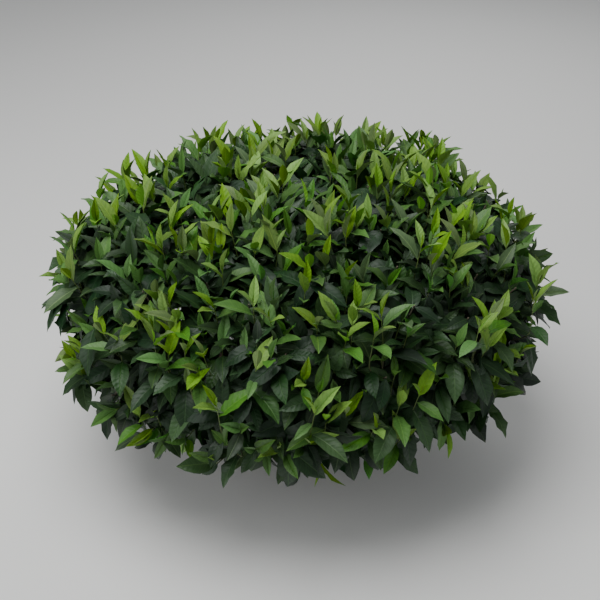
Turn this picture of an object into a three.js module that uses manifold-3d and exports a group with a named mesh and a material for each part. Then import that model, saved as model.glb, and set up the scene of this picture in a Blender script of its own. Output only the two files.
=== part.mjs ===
// A tea bush kept low and broad by plucking. Its short stem stands on level ground with the flat
// foot at the origin, and forks into main boughs, each of which carries one mass of the plucked
// table and two of the sides. Millimetres, +Z up.
import * as THREE from "three";
import { mergeVertices } from "three/addons/utils/BufferGeometryUtils.js";
import Module from "manifold-3d";

const wasm = await Module();
wasm.setup();

// The crown: a plucked table over a rounded rim, split into four masses under the middle of the
// table and eight round its rim
const CROWN_HALF_X = 620;
const CROWN_HALF_Y = 565;
const CROWN_WAIST = 420;
const TABLE_RISE = 292;
const TABLE_DOME = 62;
const SKIRT_DROP = 228;
const SHOULDER_POWER = 3.4;
const CLEFT_DEPTH = 0.07;
const CLEFT_WIDTH = 46;
const MAIN_BOUGHS = 4;
const FIRST_HEADING = 40;
const HEADING_JITTER = 7;
const RIM_SPREAD = 22.5;
const RIM_MASS = { ring: 405, height: 462 };
const TOP_MASS = { ring: 150, height: 606 };
const CENTRE_JITTER = 24;
const WALL_GAP = 3;

// No leaves grow in the dark hollow under the crown, where the boughs run
const HOLLOW_HEIGHT = 480;
const HOLLOW_RADIUS = 600;

// The stem and the boughs
const FOOT_RADIUS = 74;
const NECK_RADIUS = 47;
const HEAD_RADIUS = 54;
const NECK_HEIGHT = 62;
const HEAD_HEIGHT = 128;
const STEM_HEIGHT = 158;
const STEM_LEAN = 0.07;
const STEM_RINGS = 11;
const STEM_SIDES = 16;
const STEM_LOBES = { count: 5, depth: 0.05 };
const MAIN_BOUGH = { base: 29, tip: 19, sides: 8, rings: 4, out: 152, height: 262, start: 112 };
const MAIN_ELBOW = { out: 0.72, rise: 0.42, sway: 0.12 };
const SIDE_BOUGH = { base: 16.5, tip: 9.5, sides: 6, rings: 4, elbow: 0.52, sag: 0.24 };
const TOP_BOUGH = { base: 15, tip: 9, sides: 6, rings: 4, elbow: 0.45, sag: -0.02 };
const FORK_AT = { first: 0.66, top: 0.84, last: 0.985 };
const JOIN_GAP = 0.3;
const CLEARANCE = 5;

// The twigs of a mass end in tips spread over the crown's surface, and meet limb by limb
const TIP_SPACING = { table: 100, side: 156 };
const TIP_TRIES = 12000;
const TIP_INSET = 60;
const TIP_JITTER = 16;
const TIP_LIFT = 0.34;
const TIP_WALL = 10;
const LOWEST_LOOK = -0.5;
const LIMB_SPLIT = 3;
const LIMB_SHARE = 0.42;
const LIMB_STEP = 0.1;
const LIMB_TAPER = 0.8;
const THICKENING = 0.35;
const TWIG_RUN = 135;
const TWIG_BASE = 4.8;
const TWIG_TIP = 4;
const STEM_END = 6;

// The dense middle of a mass, from the crown's surface, from its walls and from the hollow
const CORE_LAYER = 118;
const CORE_WALL = 3.5;
const CORE_FLOOR = 16;
const CORE_SKIRT = 0.7;
const CORE_ROUGHNESS = 11;
const CORE_SIDES = 24;
const CORE_RINGS = 9;
const BOWL_SIDES = 14;
const BOWL_RINGS = 4;

// Leaves, from the twig's tip down: way back from the tip, tilt from the twig, length and width
const LEAVES = [
  { back: 1, tilt: 14, length: 62, width: 28 },
  { back: 10, tilt: 44, length: 96, width: 47 },
  { back: 24, tilt: 62, length: 118, width: 62 },
  { back: 38, tilt: 78, length: 122, width: 64 },
];
const LEAF_GROWTH = [0.85, 1.12];
const TILT_JITTER = 8;
const LEAF_THICKNESS = 3.2;
const LEAF_FOLD = 0.1;
const LEAF_DROOP = 0.06;
const LEAF_WIDEST = 0.46;
const LEAF_ROOT = 1.2;
const LEAF_TURN = 137.5;
const LEAF_TRIES = 9;
const LEAF_APART = 32;

// What a face of a fused solid measures at least
const SHORTEST_EDGE = 0.003;
const THINNEST_FACE = 0.0006;

const SEEDS = { masses: 11, boughs: 23, tips: 37, core: 51, leaves: 100 };

const BARK = new THREE.MeshStandardMaterial({ color: 0x6b5f52, roughness: 0.9 });
const TOP_GREEN = new THREE.MeshStandardMaterial({ color: 0x6f9a2c, roughness: 0.55 });
const RIM_GREEN = new THREE.MeshStandardMaterial({ color: 0x3c6a2e, roughness: 0.5 });

const UP = new THREE.Vector3(0, 0, 1);
const radians = THREE.MathUtils.degToRad;
const mix = THREE.MathUtils.lerp;

// Random numbers from 0 to 1 that are the same for the same seed
function seeded(seed) {
  let state = seed >>> 0;
  return () => {
    state = (state + 0x6d2b79f5) >>> 0;
    let t = state;
    t = Math.imul(t ^ (t >>> 15), t | 1);
    t ^= t + Math.imul(t ^ (t >>> 7), t | 61);
    return ((t ^ (t >>> 14)) >>> 0) / 4294967296;
  };
}

const between = (draw, low, high) => low + (high - low) * draw();

// A geometry with only its places, each held once
function plainOf(geometry) {
  const plain = new THREE.BufferGeometry();
  plain.setAttribute("position", geometry.getAttribute("position"));
  plain.setIndex(geometry.index);
  return mergeVertices(plain, 1e-3);
}

function solidOf(geometry) {
  const merged = plainOf(geometry);
  return new wasm.Manifold(
    new wasm.Mesh({
      numProp: 3,
      vertProperties: merged.getAttribute("position").array,
      triVerts: new Uint32Array(merged.index.array),
    }),
  );
}

function moveVertices(geometry, placeOf) {
  const position = geometry.getAttribute("position");
  const local = new THREE.Vector3();
  for (let i = 0; i < position.count; i++) {
    const moved = placeOf(local.fromBufferAttribute(position, i));
    position.setXYZ(i, moved.x, moved.y, moved.z);
  }
  return geometry;
}

// A cylinder bent along a curve, from one place on it to another, with a radius for each place
function tube(curve, from, to, radiusAt, sides, rings) {
  const along = curve.getPoint(to).sub(curve.getPoint(from)).normalize();
  const aside = Math.abs(along.z) < 0.8 ? UP : new THREE.Vector3(1, 0, 0);
  return moveVertices(new THREE.CylinderGeometry(1, 1, 1, sides, rings), (local) => {
    const share = local.y + 0.5;
    const place = mix(from, to, share);
    const axis = curve.getTangent(place);
    const across = new THREE.Vector3().crossVectors(aside, axis).normalize();
    const third = new THREE.Vector3().crossVectors(across, axis);
    const radius = radiusAt(share);
    return curve
      .getPoint(place)
      .addScaledVector(across, local.x * radius)
      .addScaledVector(third, local.z * radius);
  });
}

const bend = (start, control, end) => new THREE.QuadraticBezierCurve3(start, control, end);

function polar(heading, radius, height) {
  const stretchY = CROWN_HALF_Y / CROWN_HALF_X;
  return new THREE.Vector3(
    Math.cos(heading) * radius,
    Math.sin(heading) * radius * stretchY,
    height,
  );
}

// The masses, in an order that goes bough by bough, each within walls half way to its neighbours
function layOutMasses() {
  const draw = seeded(SEEDS.masses);
  const masses = [];
  const jitter = () => between(draw, -CENTRE_JITTER, CENTRE_JITTER);
  const add = (kind, name, heading, bough) => {
    masses.push({
      name,
      bough,
      centre: polar(heading, kind.ring + jitter(), kind.height + jitter()),
      isTop: kind === TOP_MASS,
      seed: SEEDS.leaves + masses.length,
      tips: [],
      leafMiddles: [],
    });
  };
  for (let bough = 0; bough < MAIN_BOUGHS; bough++) {
    const turn = FIRST_HEADING + (bough * 360) / MAIN_BOUGHS;
    const sway = () => between(draw, -HEADING_JITTER, HEADING_JITTER);
    add(TOP_MASS, `top_mass_${bough + 1}`, radians(turn + sway()), bough);
    add(RIM_MASS, `side_mass_${bough + 1}a`, radians(turn - RIM_SPREAD + sway() / 2), bough);
    add(RIM_MASS, `side_mass_${bough + 1}b`, radians(turn + RIM_SPREAD + sway() / 2), bough);
  }
  for (const mass of masses) {
    mass.walls = masses
      .filter((other) => other !== mass)
      .map((other) => {
        const away = new THREE.Vector3().subVectors(other.centre, mass.centre).setZ(0);
        const distance = away.length() / 2 - WALL_GAP / 2;
        return { normal: away.normalize(), distance };
      });
  }
  return masses;
}

// How far a point lies inside the nearest wall of a mass; below 0 it is outside
function wallDepth(mass, point) {
  const offset = new THREE.Vector3().subVectors(point, mass.centre);
  return Math.min(...mass.walls.map(({ normal, distance }) => distance - offset.dot(normal)));
}

// Below 1 inside the crown and above 1 outside; the crown draws in a little at each cleft
function crownLevel(point, wall) {
  const cleft = 1 - CLEFT_DEPTH * Math.exp(-((Math.max(wall, 0) / CLEFT_WIDTH) ** 2));
  const spread = Math.hypot(point.x / CROWN_HALF_X, point.y / CROWN_HALF_Y);
  const dome = TABLE_DOME * Math.max(1 - spread * spread, 0);
  const half = point.z > CROWN_WAIST ? TABLE_RISE + dome : SKIRT_DROP;
  const rise = Math.abs(point.z - CROWN_WAIST) / half;
  return ((spread / cleft) ** SHOULDER_POWER + (rise / cleft) ** SHOULDER_POWER) ** (1 / SHOULDER_POWER);
}

function inHollow(point) {
  const spread = Math.hypot(point.x, point.y) / HOLLOW_RADIUS;
  return point.z < HOLLOW_HEIGHT * (1 - spread * spread);
}

function inSpace(mass, point) {
  const wall = wallDepth(mass, point);
  return wall > 0 && crownLevel(point, wall) < 1 && !inHollow(point);
}

const isDeep = (mass, point) => wallDepth(mass, point) > TIP_WALL && inSpace(mass, point);

// How far a straight way runs from a point before a test fails
function reach(from, direction, isInside) {
  const step = 4;
  const point = new THREE.Vector3();
  let way = step;
  while (way < CROWN_HALF_X && isInside(point.copy(from).addScaledVector(direction, way))) way += step;
  return way - step;
}

// The way out of the crown at a point near its surface
function outwardAt(point) {
  const small = 2;
  const slope = ["x", "y", "z"].map((axis) => {
    const ahead = point.clone();
    const behind = point.clone();
    ahead[axis] += small;
    behind[axis] -= small;
    return crownLevel(ahead, CROWN_HALF_X) - crownLevel(behind, CROWN_HALF_X);
  });
  return new THREE.Vector3(...slope).normalize();
}

// Tips spread evenly over the crown, each under the place where its leaves reach the surface
function layOutTips(masses) {
  const draw = seeded(SEEDS.tips);
  const middle = new THREE.Vector3(0, 0, CROWN_WAIST);
  const taken = [];
  for (let attempt = 0; attempt < TIP_TRIES; attempt++) {
    const z = between(draw, LOWEST_LOOK, 1);
    const turn = between(draw, 0, 2 * Math.PI);
    const flat = Math.sqrt(1 - z * z);
    const look = new THREE.Vector3(flat * Math.cos(turn), flat * Math.sin(turn), z);
    const way = reach(middle, look, (point) => crownLevel(point, CROWN_HALF_X) < 1);
    const place = middle.clone().addScaledVector(look, way);
    const outward = outwardAt(place);
    const spacing = mix(TIP_SPACING.side, TIP_SPACING.table, Math.max(outward.z, 0) ** 2);
    if (taken.some((other) => other.distanceTo(place) < spacing)) continue;
    const heading = outward.lerp(UP, TIP_LIFT).normalize();
    const tip = place.clone().addScaledVector(heading, -TIP_INSET - between(draw, 0, TIP_JITTER));
    const knee = tip.clone().addScaledVector(heading, -TWIG_RUN);
    const mass = masses.find((one) => [tip, knee].every((end) => isDeep(one, end)));
    if (!mass) continue;
    taken.push(place);
    mass.tips.push({ tip, knee });
  }
}

// Two directions square to a given one, and to each other
function sidesOf(axis) {
  const aside = Math.abs(axis.z) < 0.9 ? UP : new THREE.Vector3(1, 0, 0);
  const across = new THREE.Vector3().crossVectors(aside, axis).normalize();
  return [across, new THREE.Vector3().crossVectors(axis, across)];
}

// The stem, with its flared foot, its neck and the swollen head where it forks
function makeStem(grow = 0) {
  const wall = new THREE.SplineCurve([
    new THREE.Vector2(FOOT_RADIUS, 0),
    new THREE.Vector2(mix(FOOT_RADIUS, NECK_RADIUS, 0.68), 22),
    new THREE.Vector2(NECK_RADIUS, NECK_HEIGHT),
    new THREE.Vector2(HEAD_RADIUS, HEAD_HEIGHT),
    new THREE.Vector2(HEAD_RADIUS * 0.62, STEM_HEIGHT - 5),
  ]).getPoints(STEM_RINGS);
  const profile = [new THREE.Vector2(0, 0)];
  for (const point of wall) profile.push(new THREE.Vector2(point.x + grow, point.y));
  profile.push(new THREE.Vector2(0, STEM_HEIGHT + grow));
  const lathe = new THREE.LatheGeometry(profile, STEM_SIDES);
  return solidOf(
    moveVertices(lathe, ({ x, y, z }) => {
      const swell = Math.cos(STEM_LOBES.count * Math.atan2(z, x) + 1) * (1 - y / STEM_HEIGHT);
      const lobes = 1 + STEM_LOBES.depth * swell;
      return new THREE.Vector3(x * lobes + y * STEM_LEAN, -z * lobes, y);
    }),
  );
}

// The line of each main bough: out of the stem's head, then up to its last fork
function layOutBoughs() {
  const draw = seeded(SEEDS.boughs);
  return Array.from({ length: MAIN_BOUGHS }, (_, k) => {
    const heading = radians(FIRST_HEADING + (k * 360) / MAIN_BOUGHS);
    const start = polar(heading, 14, MAIN_BOUGH.start);
    start.x += MAIN_BOUGH.start * STEM_LEAN;
    const out = MAIN_BOUGH.out * between(draw, 0.94, 1.06);
    const end = polar(heading, out, MAIN_BOUGH.height * between(draw, 0.93, 1.07));
    const sway = between(draw, -MAIN_ELBOW.sway, MAIN_ELBOW.sway);
    const elbow = polar(heading + sway, out * MAIN_ELBOW.out, mix(start.z, end.z, MAIN_ELBOW.rise));
    return bend(start, elbow, end);
  });
}

// Where the line of a mass's bough first comes into the mass's own space
function entryOf(mass, line) {
  let place = 0.1;
  while (!inSpace(mass, line.getPoint(place)) && place < 0.95) place += 0.005;
  return place;
}

// The line from a main bough's fork to the middle of a mass, which its bough and its stem share
function lineTo(mass, bough, mainLine, fork) {
  const start = mainLine.getPoint(fork);
  const run = new THREE.Vector3().subVectors(mass.centre, start);
  const elbow = start.clone().addScaledVector(run, bough.elbow);
  elbow.z -= run.z * bough.sag;
  return bend(start, elbow, mass.centre.clone());
}

function makeBough(line, bough, to, grow = 0) {
  const radiusAt = (share) => mix(bough.base, bough.tip, share) + grow;
  return solidOf(tube(line, 0, to, radiusAt, bough.sides, bough.rings));
}

// The stem and all boughs as solids, with the places along them that leaves keep clear of, and
// the room round them that the masses leave free
function growWood(masses) {
  const wood = new Map([["stem", makeStem()]]);
  const keepOff = [];
  const noteLine = (line, bough, to) => {
    for (let share = 0; share <= 1; share += 0.05) {
      keepOff.push({ point: line.getPoint(share * to), radius: mix(bough.base, bough.tip, share) });
    }
  };
  const grownStem = makeStem(JOIN_GAP);
  let room = makeStem(CLEARANCE);
  layOutBoughs().forEach((mainLine, k) => {
    wood.set(`main_bough_${k + 1}`, makeBough(mainLine, MAIN_BOUGH, 1).subtract(grownStem));
    noteLine(mainLine, MAIN_BOUGH, 1);
    let earlier = makeBough(mainLine, MAIN_BOUGH, 1, JOIN_GAP);
    room = room.add(makeBough(mainLine, MAIN_BOUGH, 1, CLEARANCE));
    const own = masses.filter((mass) => mass.bough === k);
    const forks = [FORK_AT.top, FORK_AT.first, FORK_AT.last];
    own.forEach((mass, i) => {
      const bough = mass.isTop ? TOP_BOUGH : SIDE_BOUGH;
      mass.line = lineTo(mass, bough, mainLine, forks[i]);
      mass.entry = entryOf(mass, mass.line);
      mass.stemBase = bough.tip;
      const solid = makeBough(mass.line, bough, mass.entry).subtract(earlier);
      wood.set(mass.name.replace("mass", "bough"), solid);
      earlier = earlier.add(makeBough(mass.line, bough, mass.entry, JOIN_GAP));
      const past = mass.entry + CLEARANCE / mass.line.getLength();
      room = room.add(makeBough(mass.line, bough, past, CLEARANCE));
      noteLine(mass.line, bough, mass.entry);
    });
  });
  return { wood, keepOff, room };
}

// Tips in groups, each round the tip that lies furthest from the groups before it
function splitTips(tips, count) {
  const heads = [tips[0]];
  const nearest = ({ tip }) => Math.min(...heads.map((head) => head.tip.distanceTo(tip)));
  while (heads.length < Math.min(count, tips.length)) {
    heads.push(tips.reduce((a, b) => (nearest(a) > nearest(b) ? a : b)));
  }
  const groups = heads.map(() => []);
  for (const one of tips) {
    const ways = heads.map((head) => head.tip.distanceTo(one.tip));
    groups[ways.indexOf(Math.min(...ways))].push(one);
  }
  return groups;
}

// Limbs that fork from the end of a line until each reaches one tip with a twig
function forkOut(parent, from, tips, limbs, twigs) {
  splitTips(tips, LIMB_SPLIT).forEach((group, i) => {
    const root = parent.getPoint(mix(1, from, LIMB_STEP * i));
    if (group.length === 1) {
      const { tip, knee } = group[0];
      const run = new THREE.LineCurve3(root, knee);
      limbs.push({ line: run, from: 0, radiusAt: () => TWIG_BASE, sides: 3, rings: 1 });
      twigs.push(new THREE.LineCurve3(knee, tip));
      return;
    }
    const mean = new THREE.Vector3();
    for (const { tip } of group) mean.addScaledVector(tip, 1 / group.length);
    const end = root.clone().lerp(mean, LIMB_SHARE);
    const limb = new THREE.LineCurve3(root, end);
    const thick = TWIG_BASE * group.length ** THICKENING;
    const radiusAt = (share) => mix(thick, thick * LIMB_TAPER, share);
    limbs.push({ line: limb, from: 0, radiusAt, sides: 3, rings: 1 });
    forkOut(limb, 0, group, limbs, twigs);
  });
}

// The stem, limbs and twigs of a mass, each grown from the one before
function growTwigs(mass) {
  const stemFrom = mass.entry + JOIN_GAP / mass.line.getLength();
  const radiusAt = (share) => mix(mass.stemBase, STEM_END, share);
  const limbs = [{ line: mass.line, from: stemFrom, radiusAt, sides: 7, rings: 2 }];
  const twigs = [];
  forkOut(mass.line, stemFrom, mass.tips, limbs, twigs);
  return { limbs, twigs };
}

// One leaf: two blades folded up from the midrib, with a keel under it that gives them thickness
function makeLeaf(base, along, across, size) {
  const normal = new THREE.Vector3().crossVectors(across, along);
  const at = (way, side, lift) =>
    base
      .clone()
      .addScaledVector(along, way * (size.length + LEAF_ROOT) - LEAF_ROOT)
      .addScaledVector(across, side * size.width)
      .addScaledVector(normal, lift);
  const fold = LEAF_FOLD * size.width;
  const corners = [
    at(0, 0, 0),
    at(LEAF_WIDEST, -0.5, fold),
    at(LEAF_WIDEST, 0, -LEAF_DROOP * LEAF_WIDEST * size.length - LEAF_THICKNESS),
    at(LEAF_WIDEST, 0.5, fold),
    at(1, 0, -LEAF_DROOP * size.length),
  ];
  const blade = new THREE.BufferGeometry().setFromPoints(corners);
  blade.setIndex([0, 4, 1, 0, 3, 4, 0, 1, 2, 1, 4, 2, 0, 2, 3, 3, 2, 4]);
  return blade;
}

function verticesOf(geometry) {
  const position = geometry.getAttribute("position");
  return Array.from({ length: position.count }, (_, i) =>
    new THREE.Vector3().fromBufferAttribute(position, i),
  );
}

function isClear(points, keepOff) {
  return keepOff.every(({ point, radius }) =>
    points.every((corner) => corner.distanceTo(point) > radius + CLEARANCE),
  );
}

// The leaves of one twig, each turned further round it than the last, within the mass's space
// and to the side where the leaves so far are furthest off
function growLeaves(mass, twig, draw, keepOff) {
  const leaves = [];
  let turn = between(draw, 0, 360);
  for (const leaf of LEAVES) {
    const place = 1 - leaf.back / twig.getLength();
    const base = twig.getPointAt(place);
    const axis = twig.getTangentAt(place);
    const [across, third] = sidesOf(axis);
    const growth = between(draw, ...LEAF_GROWTH);
    const size = { length: leaf.length * growth, width: leaf.width * growth };
    let best = { apart: LEAF_APART };
    for (let attempt = 0; attempt < LEAF_TRIES; attempt++) {
      turn += LEAF_TURN;
      const tilt = radians(leaf.tilt + between(draw, -TILT_JITTER, TILT_JITTER));
      const out = across
        .clone()
        .multiplyScalar(Math.cos(radians(turn)))
        .addScaledVector(third, Math.sin(radians(turn)));
      const along = axis.clone().multiplyScalar(Math.cos(tilt)).addScaledVector(out, Math.sin(tilt));
      const middle = base.clone().addScaledVector(along, size.length / 2);
      const apart = Math.min(...mass.leafMiddles.map((other) => other.distanceTo(middle)), CROWN_HALF_X);
      if (apart <= best.apart) continue;
      const side = new THREE.Vector3().crossVectors(along, axis).normalize();
      const blade = makeLeaf(base, along, side, size);
      const corners = verticesOf(blade);
      if (corners.every((corner) => inSpace(mass, corner)) && isClear(corners, keepOff)) {
        best = { apart, blade, middle };
      }
    }
    if (!best.blade) continue;
    leaves.push(solidOf(best.blade));
    mass.leafMiddles.push(best.middle);
  }
  return leaves;
}

// A solid turned round the crown's axis and made uneven, drawn in from front to back as the crown is
function turned(profile, sides, roughness) {
  const draw = seeded(SEEDS.core);
  const squash = CROWN_HALF_Y / CROWN_HALF_X;
  return solidOf(
    moveVertices(plainOf(new THREE.LatheGeometry(profile, sides)), ({ x, y, z }) => {
      const place = new THREE.Vector3(x, -z * squash, y);
      return place.addScaledVector(place.clone().normalize(), between(draw, -roughness, roughness));
    }),
  );
}

// The crown without its outer layer of leaves, and without the hollow under it
function makeInnerCrown() {
  const profile = [];
  for (let i = 0; i <= CORE_RINGS; i++) {
    const turn = radians(mix(-90, 90, i / CORE_RINGS));
    const spread = Math.abs(Math.cos(turn)) ** (2 / SHOULDER_POWER);
    const rise = Math.abs(Math.sin(turn)) ** (2 / SHOULDER_POWER);
    const top = TABLE_RISE + TABLE_DOME * (1 - spread * spread) - CORE_LAYER;
    const height = turn > 0 ? rise * top : -rise * (SKIRT_DROP - CORE_LAYER * CORE_SKIRT);
    const radius = i % CORE_RINGS === 0 ? 0 : spread * (CROWN_HALF_X - CORE_LAYER);
    profile.push(new THREE.Vector2(radius, CROWN_WAIST + height));
  }
  const bowl = [new THREE.Vector2(0, -CORE_FLOOR), new THREE.Vector2(HOLLOW_RADIUS, -CORE_FLOOR)];
  for (let i = 0; i <= BOWL_RINGS; i++) {
    const spread = 1 - i / BOWL_RINGS;
    const height = HOLLOW_HEIGHT * (1 - spread * spread) + CORE_FLOOR;
    bowl.push(new THREE.Vector2(spread * HOLLOW_RADIUS, height));
  }
  return turned(profile, CORE_SIDES, CORE_ROUGHNESS).subtract(turned(bowl, BOWL_SIDES, 0));
}

// The dense middle of a mass, which its outer twigs and leaves stand out of: its own share of
// the inner crown
function makeCore(mass, innerCrown) {
  const size = 2 * CROWN_HALF_X;
  let core = innerCrown;
  for (const { normal, distance } of mass.walls) {
    const block = new THREE.BoxGeometry(size, 2 * size, 2 * size);
    const place = mass.centre.clone().addScaledVector(normal, distance - CORE_WALL + size / 2);
    block.rotateZ(Math.atan2(normal.y, normal.x)).translate(place.x, place.y, place.z);
    core = core.subtract(solidOf(block));
  }
  return core;
}

function geometryOf(solid) {
  const { numProp, vertProperties, triVerts } = solid.getMesh();
  const position = new Float32Array((vertProperties.length / numProp) * 3);
  for (let i = 0; i < position.length / 3; i++) {
    position.set(vertProperties.subarray(i * numProp, i * numProp + 3), i * 3);
  }
  const geometry = new THREE.BufferGeometry();
  geometry.setAttribute("position", new THREE.BufferAttribute(position, 3));
  geometry.setIndex(new THREE.BufferAttribute(triVerts, 1));
  return geometry;
}

// The largest closed body of a solid, once places a thousandth of a millimetre apart are one, so
// that loose scraps go and sealed hollows are filled
function wholeBody(solid) {
  const bodies = solidOf(geometryOf(solid)).decompose();
  return bodies.reduce((a, b) => (a.volume() > b.volume() ? a : b));
}

// How many faces of a solid are slivers, and how many edges have more than two faces beside them
function flawsOf(solid) {
  const { index, attributes } = plainOf(geometryOf(wholeBody(solid)));
  const { position } = attributes;
  const face = new THREE.Triangle();
  const beside = new Map();
  let slivers = 0;
  for (let i = 0; i < index.count; i += 3) {
    const corners = [index.getX(i), index.getX(i + 1), index.getX(i + 2)];
    face.setFromAttributeAndIndices(position, ...corners);
    const lengths = [face.a.distanceTo(face.b), face.b.distanceTo(face.c), face.c.distanceTo(face.a)];
    const height = (2 * face.getArea()) / Math.max(...lengths);
    if (Math.min(...lengths) < SHORTEST_EDGE || height < THINNEST_FACE) slivers++;
    corners.forEach((corner, k) => {
      const next = corners[(k + 1) % 3];
      const edge = Math.min(corner, next) * position.count + Math.max(corner, next);
      beside.set(edge, (beside.get(edge) ?? 0) + 1);
    });
  }
  return slivers + [...beside.values()].filter((count) => count !== 2).length;
}

// The core, limbs, twigs and leaves of a mass as one solid, less any piece that brings in a flaw
function growMass(mass, innerCrown, keepOff) {
  const draw = seeded(mass.seed);
  const { limbs, twigs } = growTwigs(mass);
  let solid = makeCore(mass, innerCrown);
  let flaws = flawsOf(solid);
  const fuse = (piece) => {
    const joined = solid.add(piece);
    const now = flawsOf(joined);
    if (now > flaws) return;
    solid = joined;
    flaws = now;
  };
  for (const { line, from, radiusAt, sides, rings } of limbs) {
    fuse(solidOf(tube(line, from, 1, radiusAt, sides, rings)));
  }
  for (const twig of twigs) {
    const radiusAt = (share) => mix(TWIG_BASE, TWIG_TIP, share);
    fuse(solidOf(tube(twig, 0, 1, radiusAt, 3, 1)));
    growLeaves(mass, twig, draw, keepOff).forEach(fuse);
  }
  return wholeBody(solid);
}

function namedMesh(name, solid, material) {
  const geometry = geometryOf(solid);
  geometry.computeVertexNormals();
  const mesh = new THREE.Mesh(geometry, material);
  mesh.name = name;
  return mesh;
}

function growBush() {
  const masses = layOutMasses();
  const { wood, keepOff, room } = growWood(masses);
  layOutTips(masses);
  const frame = new THREE.Group();
  for (const [name, solid] of wood) frame.add(namedMesh(name, solid, BARK));
  const innerCrown = makeInnerCrown().subtract(room);
  const crown = new THREE.Group();
  for (const mass of masses) {
    const solid = growMass(mass, innerCrown, keepOff);
    crown.add(namedMesh(mass.name, solid, mass.isTop ? TOP_GREEN : RIM_GREEN));
  }
  const bush = new THREE.Group();
  bush.add(frame, crown);
  return bush;
}

export default growBush();
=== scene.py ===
"""A tea bush kept low and broad by plucking, with bark, twigs, shoots and leaves.

The crown, its masses, boughs, limbs and twigs follow the rule and the seeds of the solids, and go on
from there to finer twigs, shoots and single leaves. Metres, +Z up, the foot of the stem at the origin.
"""

import functools
import math

import bmesh
import bpy
import numpy as np
from bpy.props import FloatProperty, FloatVectorProperty, PointerProperty
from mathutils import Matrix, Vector, noise


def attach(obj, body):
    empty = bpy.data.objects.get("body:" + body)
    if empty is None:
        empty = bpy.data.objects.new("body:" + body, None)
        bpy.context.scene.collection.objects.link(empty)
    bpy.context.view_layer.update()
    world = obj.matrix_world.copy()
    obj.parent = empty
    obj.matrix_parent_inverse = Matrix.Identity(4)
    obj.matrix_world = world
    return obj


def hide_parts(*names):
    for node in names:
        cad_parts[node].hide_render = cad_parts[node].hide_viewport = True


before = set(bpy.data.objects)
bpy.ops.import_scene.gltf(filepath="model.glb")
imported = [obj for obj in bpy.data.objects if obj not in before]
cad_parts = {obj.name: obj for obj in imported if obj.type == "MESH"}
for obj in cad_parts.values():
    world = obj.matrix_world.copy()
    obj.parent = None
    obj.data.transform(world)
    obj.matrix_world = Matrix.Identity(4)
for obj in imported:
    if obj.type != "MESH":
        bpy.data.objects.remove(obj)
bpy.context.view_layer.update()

bl_info = {
    "name": "Tea bush",
    "version": (1, 0, 0),
    "blender": (4, 5, 0),
    "location": "3D View > Sidebar > Tea bush",
    "description": "Grows the bark, twigs, shoots and leaves of a plucked tea bush",
    "category": "Object",
}

# The crown: a plucked table over a rounded rim, split into masses with clefts between them
CROWN_HALF_X = 0.620
CROWN_HALF_Y = 0.565
CROWN_WAIST = 0.420
TABLE_RISE = 0.292
TABLE_DOME = 0.062
SKIRT_DROP = 0.228
SHOULDER_POWER = 3.4
CLEFT_DEPTH = 0.07
CLEFT_WIDTH = 0.046
MAIN_BOUGHS = 4
FIRST_HEADING = 40
HEADING_JITTER = 7
RIM_SPREAD = 22.5
RIM_MASS = {"ring": 0.405, "height": 0.462}
TOP_MASS = {"ring": 0.150, "height": 0.606}
CENTRE_JITTER = 0.024
WALL_GAP = 0.003
HOLLOW_HEIGHT = 0.480
HOLLOW_RADIUS = 0.600

# The stem and the boughs
FOOT_RADIUS = 0.074
NECK_RADIUS = 0.047
HEAD_RADIUS = 0.054
NECK_HEIGHT = 0.062
HEAD_HEIGHT = 0.128
STEM_HEIGHT = 0.158
STEM_LEAN = 0.07
STEM_RINGS = 44
STEM_SIDES = 96
STEM_LOBES = {"count": 5, "depth": 0.05}
STEM_FLARE = {"share": 0.68, "height": 0.022}
STEM_CROWN = {"share": 0.62, "drop": 0.005}
SMOOTH_EDGE = 0.01
ON_AXIS = 1e-4
MAIN_BOUGH = {"base": 0.029, "tip": 0.019, "sides": 40, "rings": 64}
MAIN_RUN = {"root": 0.014, "start": 0.112, "out": 0.152, "height": 0.262}
MAIN_GROWTH = {"out": (0.94, 1.06), "height": (0.93, 1.07)}
MAIN_ELBOW = {"out": 0.72, "rise": 0.42, "sway": 0.12}
SIDE_BOUGH = {"base": 0.0165, "tip": 0.0095, "sides": 18, "rings": 84, "elbow": 0.52, "sag": 0.24}
TOP_BOUGH = {"base": 0.015, "tip": 0.009, "sides": 18, "rings": 84, "elbow": 0.45, "sag": -0.02}
BOUGH_END = 0.005
BOUGH_COLLAR = {"swell": 0.28, "length": 0.07}
FORK_AT = {"first": 0.66, "top": 0.84, "last": 0.985}

# The bark's relief: ridges that run along a limb, and knots
BARK_STRETCH = 0.35
RIDGES = {"around": 150, "along": 36, "depth": 1.6, "level": 0.6, "full_at": 0.02}
RIDGE_NOISE = (0.9, 2.1, 4)
KNOTS = {"size": 0.21, "level": 0.12, "height": 0.7, "limit": 0.03}
KNOT_PLACE = Vector((7.0, 3.0, 1.0))
BARK_CREASE = math.radians(50)

# The twigs of the solids end in tips spread over the crown, and meet limb by limb
TIP_SPACING = {"table": 0.100, "side": 0.156}
TIP_TRIES = 12000
TIP_INSET = 0.060
TIP_JITTER = 0.016
TIP_LIFT = 0.34
TIP_WALL = 0.010
LOWEST_LOOK = -0.5
LIMB_SPLIT = 3
LIMB_SHARE = 0.42
LIMB_STEP = 0.1
LIMB_RADIUS = 0.0027
LIMB_BOW = 0.06
BOW_SIZE = 0.031
LIMB_TAPER = 0.8
MASS_REACH = 0.55
THICKENING = 0.42
TWIG_RUN = 0.135
TWIG_TIP = 0.0016
REACH_STEP = 0.004
SLOPE_STEP = 0.002

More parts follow.
